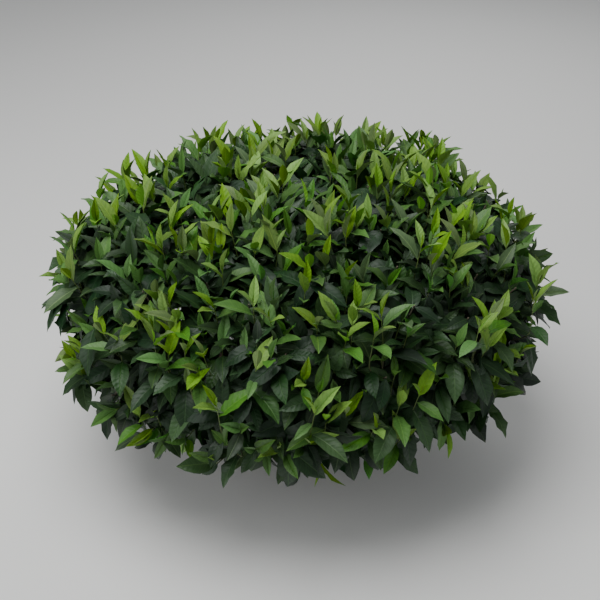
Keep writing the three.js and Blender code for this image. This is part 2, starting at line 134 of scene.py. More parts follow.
# Finer twigs fork from those twigs, and each ends in one leafy shoot at the crown's surface
SHOOT_TRIES = 60000
MOST_SHOOTS = 4096
SHOOT_WALL = 0.004
SHOOT_LIFT = {"flush": 0.80, "soft": 0.64, "resting": 0.46, "shaded": 0.28}
SHOOT_TOP = {"flush": -0.034, "soft": -0.060, "resting": -0.106, "shaded": -0.086}
SHOOT_LOWEST_LOOK = -0.6
CLUMPS = {"size": 0.12, "rise": 0.030, "spread": 1.7, "sink": 0.5}
CLUSTERS = {"size": 0.11, "strength": 2.6, "least": 0.1, "most": 2.2, "apart": 3}
UNDERSIDE_SHADE = 0.6
UNDERSIDE_LEVEL = 1.8
SHOOT_RISE = 0.014
SHOOT_LEAN = 0.20
FINE_RADIUS = {"fork": 0.0016, "base": 0.0013, "tip": 0.0008}
FORK_SAMPLES = np.linspace(0.3, 0.97, 15)
FORK_EASE = 0.25
FORK_RUN = 0.05
FORK_BEND = 0.5
LOWEST_SHARE = 0.05

SEEDS = {"masses": 11, "boughs": 23, "tips": 37, "shoots": 61, "kinds": 67, "leaves": 71}

# Leaves by sort: tilt from the shoot, fold along the midrib and curl to the tip in degrees, and
# length and width as shares of the settings' full-grown leaf
LEAF_SORTS = {
    "bud": {"tilt": 5, "fold": 64, "curl": 8, "length": 0.36, "width": 0.20, "wave": 0},
    "first": {"tilt": 16, "fold": 32, "curl": 13, "length": 0.66, "width": 0.57, "wave": 0.04},
    "second": {"tilt": 28, "fold": 25, "curl": 24, "length": 0.88, "width": 0.77, "wave": 0.08},
    "third": {"tilt": 34, "fold": 21, "curl": 34, "length": 0.97, "width": 0.90, "wave": 0.10},
    "mature": {"tilt": 45, "fold": 16, "curl": 46, "length": 1.0, "width": 1.06, "wave": 0.11},
    "old": {"tilt": 62, "fold": 12, "curl": 52, "length": 1.10, "width": 1.16, "wave": 0.09},
}

# Shoots by kind, from the tip down: a leaf's sort, its way back from the tip, and its colour
# The lowest leaves of each shoot take the deep colour, with its painted shade.
SHOOT_KINDS = {
    "flush": {
        "stem": 0.076,
        "leaves": (
            ("bud", 0.000, "flush"),
            ("first", 0.003, "flush"),
            ("second", 0.013, "flush"),
            ("third", 0.034, "soft"),
            ("mature", 0.066, "green"),
            ("old", 0.098, "deep"),
        ),
    },
    "soft": {
        "stem": 0.056,
        "leaves": (
            ("first", 0.000, "soft"),
            ("second", 0.010, "soft"),
            ("third", 0.030, "green"),
            ("mature", 0.054, "green"),
            ("old", 0.082, "deep"),
        ),
    },
    "resting": {
        "stem": 0.046,
        "leaves": (
            ("second", 0.000, "green"),
            ("third", 0.008, "green"),
            ("mature", 0.022, "green"),
            ("mature", 0.042, "deep"),
            ("old", 0.066, "deep"),
        ),
    },
    "shaded": {
        "stem": 0.040,
        "leaves": (
            ("third", 0.000, "deep"),
            ("mature", 0.010, "deep"),
            ("old", 0.026, "deep"),
            ("old", 0.044, "deep"),
        ),
    },
}
# The share of each kind of shoot on the table and on the sides
KIND_SHARES = {
    "table": {"flush": 0.34, "soft": 0.18, "resting": 0.48, "shaded": 0.0},
    "side": {"flush": 0.22, "soft": 0.15, "resting": 0.35, "shaded": 0.28},
}
LEAF_TURN = 137.5
LEAF_TRIES = 5
LEAF_GROWTH = (0.60, 1.16)
LEAF_JITTER = {"width": (0.9, 1.08), "fold": (0.7, 1.3), "curl": (0.4, 1.5), "wave": (0.4, 1.3)}
TWIST_JITTER = 16
LEAST_CURL = 3
FULL_GROWN = 0.95
LEAF_MIDDLE = 0.55
LEAF_END = 0.96
LEAF_LIMIT = {"table": 1.075, "side": 1.035}
TILT_JITTER = 11
LOWEST_LEAF = 0.150
INNER_LEAVES = np.linspace(0.22, 0.98, 15)
SIDE_DROOP = 0.55
DROOP_LEVEL = 1.15
FACE_UP = 0.55
CROWD_CELL = 0.05
WOOD_ROOM = 0.012
WOOD_SAMPLES = 25

# A leaf's stations from its stalk to its tip, and its columns from edge to edge
STATIONS = np.array([0.0, 0.06, 0.17, 0.31, 0.47, 0.64, 0.80, 0.92, 1.0])
LEAF_COLUMNS = 4
STALK_SHARE = 0.05
STALK_WIDTH = 0.05
BLADE = {"lead": 0.9, "fullness": 0.7, "tip": 0.3, "taper": 0.22, "widest": 0.93}
LEAF_BULGE = 0.045
LEAF_THICKNESS = 0.0011
KEEL_LEVEL = 1.15
WAVES = 2.6
WAVE_SLANT = 1.7
LEAF_CREASE = math.radians(62)
LEAF_TRIANGLES = 94

# The leaf patterns lie on one sheet of cells: three rows of upper faces over one of undersides
SHEET_CELLS = 4
UPPER_ROWS = 3
CELL_HALF = 0.46
CELL_START = 0.03
CELL_RUN = 0.94
SHEET_MAP = "OFBake"

# Materials: how light and how warm each tone is beside the settings' colour, and the patterns
LEAF_TONES = {
    "dark": (0.62, -0.10),
    "light": (1.38, 0.12),
    "edge": (0.7, 0.2),
    "back_dark": (1.0, 0.02),
    "back_light": (1.75, 0.06),
    "back_rib": (2.1, 0.18),
}
BODY = {"mottle": 0.7, "blotch": 0.9, "leaf": 0.9, "swell": 0.22, "level": 0.42}
EDGE = {"start": 0.7, "share": 0.22}
RIB = {"width": 0.085, "share": 0.6, "light": 1.35, "warmth": 0.22, "depth": 0.8}
VEINS = {"pairs": 8, "slant": 1.5, "bend": 0.35, "width": 0.16, "fade": (0.72, 0.95), "warmth": 0.12}
VEIN_RELIEF = {"least": 0.3, "fade": 0.5}
LEAF_ROUGH = {"blotch": 0.25, "back": 0.22}
LEAF_SHINE = 0.32
# What differs from leaf to leaf: a leaf's own number from 0 to 1, times the first value, plus the second
# The saturation that differs from leaf to leaf is partly the leaves' own and partly painted light: pale
# leaves stand for painted sheen, vivid ones for a painted glow of light through them.
VARIETY = {"hue": (0.03, 0.486), "saturation": (0.40, 0.77), "veins": (0.45, 0.22)}
LOTTERY = (12.9898, 78.233, 43758.5453)
SECOND_LOTTERY = (57.31, 0.37)
SPECKLES = {
    "mottle": {"Scale": 26.0, "Detail": 2.0},
    "blotch": {"Scale": 7.0, "Detail": 2.0},
    "bark": {"Scale": 210.0, "Detail": 6.0},
    "broad": {"Scale": 24.0, "Detail": 3.0},
    "lichen": {"Scale": 58.0, "Detail": 4.0},
    "streak": {"Scale": 14.0, "Detail": 4.0},
    "patch": {"Scale": 9.0, "Detail": 2.0},
}
BUMPS = {
    "leaf": {"Strength": 0.42, "Distance": 0.0011},
    "bark": {"Strength": 0.7, "Distance": 0.0016},
    "stalk": {"Strength": 0.5, "Distance": 0.0005},
}
BARK_TONES = {"dark": (0.75, 0.0), "light": (1.5, 0.05)}
BARK = {"grain": (1.0, 1.0, 0.28), "furrow": (0.36, 0.50), "lichen": (0.55, 0.66), "share": 0.75}
BARK_ROUGH = 0.82
LICHEN_RELIEF = 0.4
UNEVEN = 0.2
STALK_GRAIN = (1.0, 0.22, 1.0)
STALK_SHADE = {"low": 0.45, "high": 0.6, "level": 0.55}
STALKS = {
    "twigs": {"sides": 7, "rings": 7, "rough": 0.75},
    "fine_twigs": {"sides": 5, "rings": 4, "rough": 0.65},
    "shoot_stalks": {"sides": 5, "rings": 2, "rough": 0.5},
}
DARK_WOOD = 0.8
DARK_GREEN = 0.75

# Colours of leaves, with their gloss, the lightness of their veins, their slot and what they stand for
LEAF_LOOKS = (
    ("flush", 0.52, 1.25, "young_leaf", ("top_mass",)),
    ("soft", 0.48, 1.4, "young_leaf", ()),
    ("green", 0.43, 1.8, "mature_leaf", ("side_mass",)),
    # deep: dark green with painted shade, for the lower and inner leaves
    ("deep", 0.45, 2.0, "mature_leaf", ()),
)
PART_CONTRAST = {"light": 0.22, "warmth": 0.1}
MOST_TRIANGLES = 199000

# The stage, with the place, the size and the power of each lamp
FLOOR = {"radius": 9.0, "sides": 96, "rough": 0.9}
CAMERA_AIM = Vector((0.0, 0.0, 0.40))
LAMP_AIM = Vector((0.0, 0.0, 0.45))
LAMPS = {
    "softbox above": ((-0.6, -0.5, 3.4), 2.6, 98),
    "softbox left": ((-2.9, -2.0, 2.3), 2.0, 30),
    "softbox right": ((2.9, -1.2, 1.8), 2.0, 11),
    "softbox behind": ((0.5, 3.0, 2.4), 2.0, 25),
}
SKY_COLOUR = (0.93, 0.96, 1.0, 1.0)

UP = np.array([0.0, 0.0, 1.0])
SIDEWAYS = np.array([1.0, 0.0, 0.0])
# From this rise on, a limb or a shoot counts as upright
STEEP = {"limb": 0.8, "leaf": 0.9}


# Settings


def colour_of(name, description, default):
    return FloatVectorProperty(name=name, description=description, subtype="COLOR", default=default)


def length_of(name, description, default):
    return FloatProperty(name=name, description=description, default=default, unit="LENGTH")


def angle_of(name, description, degrees):
    turn = math.radians(degrees)
    return FloatProperty(name=name, description=description, default=turn, subtype="ANGLE")


class BarkSettings(bpy.types.PropertyGroup):
    """The bark of the stem and the boughs."""

    relief: length_of("Relief", "How far the ridges stand out", 0.0021)
    colour: colour_of("Bark", "Weathered bark", (0.150, 0.118, 0.088))
    furrow: colour_of("Furrow", "The furrows of the bark", (0.045, 0.034, 0.025))
    lichen: colour_of("Lichen", "Pale patches", (0.32, 0.33, 0.27))


class TwigSettings(bpy.types.PropertyGroup):
    """The limbs, twigs and shoots."""

    table_spacing: length_of("Table spacing", "Between shoots on the table", 0.0315)
    side_spacing: length_of("Side spacing", "Between shoots on the sides", 0.042)
    woody: colour_of("Woody", "Limbs and older twigs", (0.170, 0.140, 0.100))
    green: colour_of("Green", "Stalks of this year's shoots", (0.190, 0.270, 0.070))


class LeafSettings(bpy.types.PropertyGroup):
    """The leaves, by age."""

    length: length_of("Length", "Of a full-grown leaf", 0.088)
    width: length_of("Width", "Of a full-grown leaf", 0.035)
    # The flush colour is the young leaves' own yellow-green, made brighter as a painted glow of light
    # through the thin leaves.
    flush: colour_of("Flush", "Two leaves and a bud", (0.141, 0.286, 0.041))
    soft: colour_of("Soft", "Half-grown leaves", (0.066, 0.173, 0.034))
    green: colour_of("Green", "Full-grown leaves", (0.026, 0.069, 0.021))
    # The deep colour is partly the old leaves' own dark green and partly painted shade, made darker for
    # the leaves low on the shoots and deep inside the crown.
    deep: colour_of("Deep", "Old and shaded leaves", (0.0103, 0.0335, 0.0118))


class StudioSettings(bpy.types.PropertyGroup):
    """The camera, the floor and the light."""

    elevation: angle_of("Elevation", "Of the camera", 34)
    azimuth: angle_of("Azimuth", "Of the camera, round the bush", 4)
    distance: length_of("Distance", "From camera to bush", 2.55)
    lens: FloatProperty(name="Lens", description="Focal length in millimetres", default=62)
    daylight: FloatProperty(name="Daylight", description="Strength of the sky", default=0.20)
    floor: colour_of("Floor", "The plain floor", (0.90, 0.90, 0.88))


class TeaBushSettings(bpy.types.PropertyGroup):
    """All settings of the bush."""

    bark: PointerProperty(type=BarkSettings)
    twigs: PointerProperty(type=TwigSettings)
    leaves: PointerProperty(type=LeafSettings)
    studio: PointerProperty(type=StudioSettings)


# Small sums


def seeded(seed):
    """Random numbers from 0 to 1, the same as the solids' for the same seed."""
    whole = 0xFFFFFFFF
    state = seed

    def draw():
        nonlocal state
        state = (state + 0x6D2B79F5) & whole
        mixed = state
        mixed = ((mixed ^ (mixed >> 15)) * (mixed | 1)) & whole
        mixed ^= (mixed + (((mixed ^ (mixed >> 7)) * (mixed | 61)) & whole)) & whole
        return ((mixed ^ (mixed >> 14)) & whole) / (whole + 1)

    return draw


def mix(low, high, share):
    return (1 - share) * low + share * high


def between(draw, low, high):
    return low + (high - low) * draw()


def unit(vector):
    return vector / np.linalg.norm(vector, axis=-1, keepdims=True)


def square_to(first, second):
    """The cross product of two single vectors."""
    a, b, c = first
    d, e, f = second
    return np.array([b * f - c * e, c * d - a * f, a * e - b * d])


def aside_from(axis, limit=STEEP["limb"]):
    """A direction well away from an axis: up, or sideways where the axis is steep."""
    return UP if abs(axis[2]) < limit else SIDEWAYS


def polar(heading, radius, height):
    """A place round the crown's axis, drawn in from front to back as the crown is."""
    squash = CROWN_HALF_Y / CROWN_HALF_X
    return np.array([math.cos(heading) * radius, math.sin(heading) * radius * squash, height])


def smooth_noise(place, size):
    """Even noise from about -1 to 1 that changes over the given size."""
    return noise.noise(Vector(place) / size)


class Bend:
    """A smooth line from one place to another, drawn towards a third."""

    def __init__(self, start, control, end):
        self.start, self.control, self.end = start, control, end

    def point(self, share):
        share = np.asarray(share, float)[..., None]
        first = (1 - share) ** 2 * self.start + 2 * (1 - share) * share * self.control
        return first + share**2 * self.end

    def tangent(self, share):
        share = np.asarray(share, float)[..., None]
        return unit((1 - share) * (self.control - self.start) + share * (self.end - self.control))


# The crown's shape and its masses


class Mass:
    """A share of the crown, within walls half way to its neighbours."""

    def __init__(self, name, bough, centre, is_top):
        self.name, self.bough, self.centre, self.is_top = name, bough, centre, is_top
        self.tips = []
        self.twigs = []

    def build_walls(self, masses):
        away = np.array([other.centre - self.centre for other in masses if other is not self])
        away[:, 2] = 0
        lengths = np.linalg.norm(away, axis=1)
        self.wall_normals = away / lengths[:, None]
        self.wall_distances = lengths / 2 - WALL_GAP / 2

    def wall_depth(self, point):
        """How far a point lies inside the nearest wall; below 0 it is outside."""
        return float((self.wall_distances - self.wall_normals @ (point - self.centre)).min())

    def holds(self, point, depth=0.0, level=1.0):
        wall = self.wall_depth(point)
        return wall > depth and crown_level(point, wall) < level and not in_hollow(point)


def crown_level(point, wall=CROWN_HALF_X):
    """Below 1 inside the crown and above 1 outside; the crown draws in a little at each cleft."""
    x, y, z = point
    cleft = 1 - CLEFT_DEPTH * math.exp(-((max(wall, 0) / CLEFT_WIDTH) ** 2))
    spread = math.hypot(x / CROWN_HALF_X, y / CROWN_HALF_Y)
    dome = TABLE_DOME * max(1 - spread * spread, 0)
    half = TABLE_RISE + dome if z > CROWN_WAIST else SKIRT_DROP
    rise = abs(z - CROWN_WAIST) / half
    rounded = (spread / cleft) ** SHOULDER_POWER + (rise / cleft) ** SHOULDER_POWER
    return rounded ** (1 / SHOULDER_POWER)


def in_hollow(point):
    spread = math.hypot(point[0], point[1]) / HOLLOW_RADIUS
    return point[2] < HOLLOW_HEIGHT * (1 - spread * spread)


def outward_at(point):
    """The way out of the crown at a place near its surface."""
    slope = np.zeros(3)
    for axis in range(3):
        step = np.zeros(3)
        step[axis] = SLOPE_STEP
        slope[axis] = crown_level(point + step) - crown_level(point - step)
    return unit(slope)


def surface_place(look):
    """Where a straight way from the crown's middle comes to its surface, in whole steps."""
    middle = np.array([0.0, 0.0, CROWN_WAIST])
    inside, outside = 0, math.ceil(CROWN_HALF_X / REACH_STEP)
    while outside - inside > 1:
        half = (inside + outside) // 2
        if crown_level(middle + look * half * REACH_STEP) < 1:
            inside = half
        else:
            outside = half
    return middle + look * inside * REACH_STEP


def look_from(z, turn):
    flat = math.sqrt(1 - z * z)
    return np.array([flat * math.cos(turn), flat * math.sin(turn), z])


def lay_out_masses():
    """The masses, in an order that goes bough by bough."""
    draw = seeded(SEEDS["masses"])
    masses = []

    def jitter():
        return between(draw, -CENTRE_JITTER, CENTRE_JITTER)

    def add(kind, name, heading, bough):
        ring = kind["ring"] + jitter()
        centre = polar(math.radians(heading), ring, kind["height"] + jitter())
        masses.append(Mass(name, bough, centre, kind is TOP_MASS))

    for bough in range(MAIN_BOUGHS):
        turn = FIRST_HEADING + bough * 360 / MAIN_BOUGHS
        for kind, name, aside, sway in (
            (TOP_MASS, f"top_mass_{bough + 1}", 0, 1),
            (RIM_MASS, f"side_mass_{bough + 1}a", -RIM_SPREAD, 0.5),
            (RIM_MASS, f"side_mass_{bough + 1}b", RIM_SPREAD, 0.5),
        ):
            heading = turn + aside + sway * between(draw, -HEADING_JITTER, HEADING_JITTER)
            add(kind, name, heading, bough)
    for mass in masses:
        mass.build_walls(masses)
    return masses


def lay_out_tips(masses):
    """Tips spread evenly over the crown, each under the place where its leaves reach the surface."""
    draw = seeded(SEEDS["tips"])
    taken = np.empty((0, 3))
    for _ in range(TIP_TRIES):
        z = between(draw, LOWEST_LOOK, 1)
        place = surface_place(look_from(z, between(draw, 0, 2 * math.pi)))
        outward = outward_at(place)
        spacing = mix(TIP_SPACING["side"], TIP_SPACING["table"], max(outward[2], 0) ** 2)
        if len(taken) and np.linalg.norm(taken - place, axis=1).min() < spacing:
            continue
        heading = unit(outward + (UP - outward) * TIP_LIFT)
        tip = place - heading * (TIP_INSET + between(draw, 0, TIP_JITTER))
        knee = tip - heading * TWIG_RUN
        for mass in masses:
            if mass.holds(tip, TIP_WALL) and mass.holds(knee, TIP_WALL):
                taken = np.vstack([taken, place])
                mass.tips.append((tip, knee))
                break


def lay_out_boughs():
    """The line of each main bough: out of the stem's head, then up to its last fork."""
    draw = seeded(SEEDS["boughs"])
    lines = []
    for k in range(MAIN_BOUGHS):
        heading = math.radians(FIRST_HEADING + k * 360 / MAIN_BOUGHS)
        start = polar(heading, MAIN_RUN["root"], MAIN_RUN["start"])
        start[0] += MAIN_RUN["start"] * STEM_LEAN
        out = MAIN_RUN["out"] * between(draw, *MAIN_GROWTH["out"])
        end = polar(heading, out, MAIN_RUN["height"] * between(draw, *MAIN_GROWTH["height"]))
        sway = between(draw, -MAIN_ELBOW["sway"], MAIN_ELBOW["sway"])
        rise = mix(start[2], end[2], MAIN_ELBOW["rise"])
        lines.append(Bend(start, polar(heading + sway, out * MAIN_ELBOW["out"], rise), end))
    return lines


def line_to(mass, bough, main_line, fork):
    """The line from a main bough's fork to the middle of a mass."""
    start = main_line.point(fork)
    run = mass.centre - start
    elbow = start + run * bough["elbow"]
    elbow[2] -= run[2] * bough["sag"]
    return Bend(start, elbow, mass.centre)


def split_tips(tips, count):
    """Tips in groups, each round the tip that lies furthest from the groups before it."""
    places = np.array([tip for tip, _ in tips])
    heads = [0]
    while len(heads) < min(count, len(tips)):
        nearest = np.linalg.norm(places[:, None] - places[heads], axis=2).min(axis=1)
        heads.append(len(tips) - 1 - int(nearest[::-1].argmax()))
    groups = [[] for _ in heads]
    for one in tips:
        ways = np.linalg.norm(places[heads] - one[0], axis=1)
        groups[int(ways.argmin())].append(one)
    return groups


def bowed(start, end, seed_place):
    """A limb's line, a little bowed to one side that depends on where it is."""
    aside = np.array([smooth_noise(seed_place + k, BOW_SIZE) for k in range(3)])
    return Bend(start, (start + end) / 2 + aside * np.linalg.norm(end - start) * 2 * LIMB_BOW, end)


def fork_out(mass, parent, reach, tips, limbs):
    """Limbs that fork from a line, the first at its end, until each reaches one tip with a twig."""
    for i, group in enumerate(split_tips(tips, LIMB_SPLIT)):
        root = parent.point(mix(1, reach, LIMB_STEP * i))
        if len(group) == 1:
            tip, knee = group[0]
            mass.twigs.append(Bend(root, knee, tip))
            continue
        mean = np.mean([tip for tip, _ in group], axis=0)
        end = root + (mean - root) * LIMB_SHARE
        limb = bowed(root, end, end)
        thick = LIMB_RADIUS * len(group) ** THICKENING
        limbs.append((limb, thick, thick * LIMB_TAPER))
        fork_out(mass, limb, 0, group, limbs)


# Shoots and leaves


class Shoot:
    """A leafy shoot at the crown's surface, on a fine twig that forks from a twig of the solids."""

    def __init__(self, mass, tip, heading, kind, table):
        self.mass, self.tip, self.heading, self.kind, self.table = mass, tip, heading, kind, table
        self.stem = SHOOT_KINDS[kind]["stem"]
        self.base = tip - heading * self.stem
        self.twig = Bend(*self.fork_line())

    def fork_line(self):
        """From the nearest twig that this one can leave at an easy angle, to the shoot's base."""
        least, fork = math.inf, self.base - self.heading * FORK_RUN
        for twig in self.mass.twigs:
            forks = twig.point(FORK_SAMPLES)
            runs = self.base - forks
            lengths = np.linalg.norm(runs, axis=1)
            ease = np.maximum(runs @ self.heading / np.maximum(lengths, 1e-6), 0)
            costs = lengths / (FORK_EASE + ease)
            k = int(costs.argmin())
            if costs[k] < least:
                least, fork = costs[k], forks[k]
        bend = self.base - self.heading * FORK_BEND * np.linalg.norm(self.base - fork)
        return fork, bend, self.base

    def place(self, back):
        """The place and the direction of the shoot, or of the twig below it, so far back from the tip."""
        if back <= self.stem:
            return self.tip - self.heading * back, self.heading
        run = max(np.linalg.norm(self.twig.end - self.twig.start), 1e-4)
        share = max(1 - (back - self.stem) / run, LOWEST_SHARE)
        return self.twig.point(share), self.twig.tangent(share)


class Inside:
    """A place on a twig inside the crown where an old leaf grows."""

    table = 0.6

    def __init__(self, twig, share):
        self.spot = twig.point(share), twig.tangent(share)

    def place(self, back):
        return self.spot


def pick_kind(draw, table, cluster):
    """A kind of shoot, by its share on the table and on the sides; young ones come in clusters."""
    left = draw()
    for kind in SHOOT_KINDS:
        share = mix(KIND_SHARES["side"][kind], KIND_SHARES["table"][kind], table)
        if kind == "flush":
            share *= min(max(1 + CLUSTERS["strength"] * cluster, CLUSTERS["least"]), CLUSTERS["most"])
        left -= share
        if left < 0:
            return kind
    return "resting"


def lay_out_shoots(masses, settings):
    """Shoots spread over the crown far more closely than the tips, in clumps of uneven height."""
    draw = seeded(SEEDS["shoots"])
    pick = seeded(SEEDS["kinds"])
    taken = np.zeros((MOST_SHOOTS, 3))
    shoots = []
    for _ in range(SHOOT_TRIES):
        z = between(draw, SHOOT_LOWEST_LOOK, 1)
        place = surface_place(look_from(z, between(draw, 0, 2 * math.pi)))
        count = len(shoots)
        apart = np.linalg.norm(taken[:count] - place, axis=1).min() if count else 1
        if apart < settings.table_spacing:
            continue
        outward = outward_at(place)
        table = max(outward[2], 0) ** 2
        if apart < mix(settings.side_spacing, settings.table_spacing, table):
            continue
        inner = place - outward * TIP_INSET
        mass = next((one for one in masses if one.holds(inner, SHOOT_WALL)), None)
        if mass is None:
            continue
        taken[count] = place
        under = min(outward[2], 0)
        cluster = smooth_noise(place + UP * CLUSTERS["apart"], CLUSTERS["size"])
        kind = pick_kind(pick, table, cluster + UNDERSIDE_SHADE * under)
        lean = np.array([between(pick, -SHOOT_LEAN, SHOOT_LEAN) for _ in range(3)])
        lift = SHOOT_LIFT[kind] * max(1 + UNDERSIDE_LEVEL * under, 0)
        heading = unit(outward + (UP - outward) * lift + lean)
        clump = smooth_noise(place, CLUMPS["size"])
        rise = CLUMPS["rise"] * (CLUMPS["spread"] * clump - CLUMPS["sink"])
        rise += between(pick, -SHOOT_RISE, SHOOT_RISE * 0.5)
        shoots.append(Shoot(mass, place + outward * (SHOOT_TOP[kind] + rise), heading, kind, table))
    return shoots


class Leaf:
    """One leaf: where it is rooted, which way it grows and faces, and its measures."""

    def __init__(self, base, along, face, sort, growth, draw, settings):
        facts = LEAF_SORTS[sort]

        def varied(name):
            return between(draw, *LEAF_JITTER[name])

        self.base, self.along = base, along
        self.face = unit(face - along * (face @ along))
        self.length = settings.length * facts["length"] * growth
        self.width = settings.width * facts["width"] * growth * varied("width")
        self.fold = math.radians(facts["fold"] * varied("fold"))
        self.curl = math.radians(max(facts["curl"] * varied("curl"), LEAST_CURL))
        self.twist = math.radians(between(draw, -TWIST_JITTER, TWIST_JITTER))
        self.wave = facts["wave"] * varied("wave")
        self.phase = between(draw, 0, 2 * math.pi)
        self.cell = (int(draw() * SHEET_CELLS), int(draw() * UPPER_ROWS), int(draw() * SHEET_CELLS))

    def middle(self):
        return self.base + self.along * self.length * LEAF_MIDDLE

    def tip(self):
        return self.base + self.along * self.length * LEAF_END


class Crowd:
    """Leaf middles by the cell of space they lie in, to find how near the nearest one is."""

    def __init__(self):
        self.cells = {}

    def cell(self, place):
        return tuple(int(value // CROWD_CELL) for value in place)

    def add(self, place):
        self.cells.setdefault(self.cell(place), []).append(tuple(place))

    def apart(self, place):
        x, y, z = self.cell(place)
        nearest = CROWD_CELL
        for i in (x - 1, x, x + 1):
            for j in (y - 1, y, y + 1):
                for k in (z - 1, z, z + 1):
                    for other in self.cells.get((i, j, k), ()):
                        nearest = min(nearest, math.dist(other, place))
        return nearest


def grow_leaf(shoot, sort, back, turn, draw, settings):
    """A leaf at its place on a shoot, turned round it and drooping where it grows on the sides."""
    base, axis = shoot.place(back)
    across = unit(square_to(aside_from(axis, STEEP["leaf"]), axis))
    turn = math.radians(turn)
    out = across * math.cos(turn) + square_to(axis, across) * math.sin(turn)
    facts = LEAF_SORTS[sort]
    tilt = math.radians(facts["tilt"] + between(draw, -TILT_JITTER, TILT_JITTER))
    along = axis * math.cos(tilt) + out * math.sin(tilt)
    full_grown = facts["length"] > FULL_GROWN
    if full_grown:
        along = unit(along - UP * SIDE_DROOP * (DROOP_LEVEL - shoot.table))
    face = axis * math.sin(tilt) - out * math.cos(tilt)
    if full_grown:
        face = face + UP * FACE_UP
    return Leaf(base, along, face, sort, between(draw, *LEAF_GROWTH), draw, settings)


def grow_leaves(shoots, masses, wood, settings):
    """All leaves by colour, each on the side of its shoot where the others are furthest off."""
    draw = seeded(SEEDS["leaves"])
    crowd = Crowd()
    leaves = {"flush": [], "soft": [], "green": [], "deep": []}
    wood_places, wood_radii = wood

    def set_leaf(shoot, sort, back, turn, colour):
        best, room = None, -1.0
        limit = mix(LEAF_LIMIT["side"], LEAF_LIMIT["table"], shoot.table)
        for _ in range(1 if sort == "bud" else LEAF_TRIES):
            turn += LEAF_TURN
            leaf = grow_leaf(shoot, sort, back, turn, draw, settings)
            tip = leaf.tip()
            if crown_level(tip) > limit or in_hollow(tip) or tip[2] < LOWEST_LEAF:
                continue
            apart = crowd.apart(leaf.middle())
            if apart > room:
                best, room = leaf, apart
        if best is None:
            return turn
        ways = np.linalg.norm(wood_places - best.middle(), axis=1) - wood_radii
        if ways.min() > WOOD_ROOM:
            crowd.add(best.middle())
            leaves[colour].append(best)
        return turn

    for shoot in shoots:
        turn = between(draw, 0, 360)
        for sort, back, colour in SHOOT_KINDS[shoot.kind]["leaves"]:
            turn = set_leaf(shoot, sort, back, turn, colour)
    for mass in masses:
        # Inner leaves on the twigs take the deep colour, with its painted shade.
        for twig in mass.twigs:
            turn = between(draw, 0, 360)
            for share in INNER_LEAVES:
                turn = set_leaf(Inside(twig, share), "old", 0, turn, "deep")
    return leaves


@functools.cache
def grown_bush():
    """The whole plant as lines, shoots and leaves, worked out once."""
    settings = bpy.context.scene.tea_bush
    masses = lay_out_masses()
    lay_out_tips(masses)
    mains = lay_out_boughs()
    boughs, limbs = [], []
    for k, main in enumerate(mains):
        boughs.append((main, MAIN_BOUGH, MAIN_BOUGH["tip"]))
        own = [mass for mass in masses if mass.bough == k]
        for mass, fork in zip(own, (FORK_AT["top"], FORK_AT["first"], FORK_AT["last"])):
            bough = TOP_BOUGH if mass.is_top else SIDE_BOUGH
            line = line_to(mass, bough, main, fork)
            boughs.append((line, bough, BOUGH_END))
            fork_out(mass, line, MASS_REACH, mass.tips, limbs)
    places = np.vstack([line.point(np.linspace(0, 1, WOOD_SAMPLES)) for line, _, _ in boughs])
    radii = np.concatenate([np.linspace(bough["base"], end, WOOD_SAMPLES) for _, bough, end in boughs])
    shoots = lay_out_shoots(masses, settings.twigs)
    leaves = grow_leaves(shoots, masses, (places, radii), settings.leaves)
    return {"masses": masses, "boughs": boughs, "limbs": limbs, "shoots": shoots, "leaves": leaves}


# Shader sums


class Value:
    """A shader socket that can be added, multiplied and compared like a number."""

    def __init__(self, paint, socket):
        self.paint, self.socket = paint, socket

    def math(self, operation, *others):
        return self.paint.node("ShaderNodeMath", {"operation": operation}, [self, *others])

    def __add__(self, other):
        return self.math("ADD", other)

    __radd__ = __add__

    def __mul__(self, other):
        return self.math("MULTIPLY", other)

    __rmul__ = __mul__

    def __sub__(self, other):
        return self.math("SUBTRACT", other)

    def __rsub__(self, other):
        return self.paint.node("ShaderNodeMath", {"operation": "SUBTRACT"}, [other, self])

    def __gt__(self, other):
        return self.math("GREATER_THAN", other)


class Paint:
    """A material whose nodes are all added by one method."""

    def __init__(self, name):
        self.material = bpy.data.materials.new(name)
        self.material.use_nodes = True
        self.tree = self.material.node_tree
        self.tree.nodes.clear()

    def node(self, kind, settings=None, sockets=None, output=0):
        made = self.tree.nodes.new(kind)
        for name, value in (settings or {}).items():
            setattr(made, name, value)
        pairs = sockets.items() if isinstance(sockets, dict) else enumerate(sockets or ())
        for key, value in pairs:
            if isinstance(value, Value):
                self.tree.links.new(value.socket, made.inputs[key])
            else:
                made.inputs[key].default_value = value
        return Value(self, made.outputs[output]) if len(made.outputs) else None

    def blend(self, share, first, second):
        """A colour between two others."""
        return self.node("ShaderNodeMix", {"data_type": "RGBA"}, {0: share, 6: first, 7: second}, 2)

    def ease(self, value, low, high):
        """From 0 to 1, softly, as a value goes from low to high."""
        return self.node(
            "ShaderNodeMapRange",
            {"interpolation_type": "SMOOTHSTEP"},
            {"Value": value, "From Min": low, "From Max": high},
        )

    def speckle(self, place, name):
        return self.node("ShaderNodeTexNoise", None, {"Vector": place, **SPECKLES[name]})

    def bump(self, name, height):
        return self.node("ShaderNodeBump", None, {**BUMPS[name], "Height": height})

    def finish(self, **sockets):
        """Ends the material in one surface shader; names are the shader's own, with _ for a space."""
        named = {name.replace("_", " "): value for name, value in sockets.items()}
        shader = self.node("ShaderNodeBsdfPrincipled", None, named)
        self.node("ShaderNodeOutputMaterial", None, {"Surface": shader})
        return self.material


def tone(colour, factor=1.0, warmth=0.0):
    """A colour made lighter or darker, and warmer or cooler, with the alpha that a socket takes."""
    red, green, blue = colour[:3]
    return (red * factor * (1 + warmth), green * factor, blue * factor * (1 - warmth), 1.0)


def varied(lottery, name):
    """What differs from leaf to leaf."""
    run, least = VARIETY[name]
    return lottery * run + least


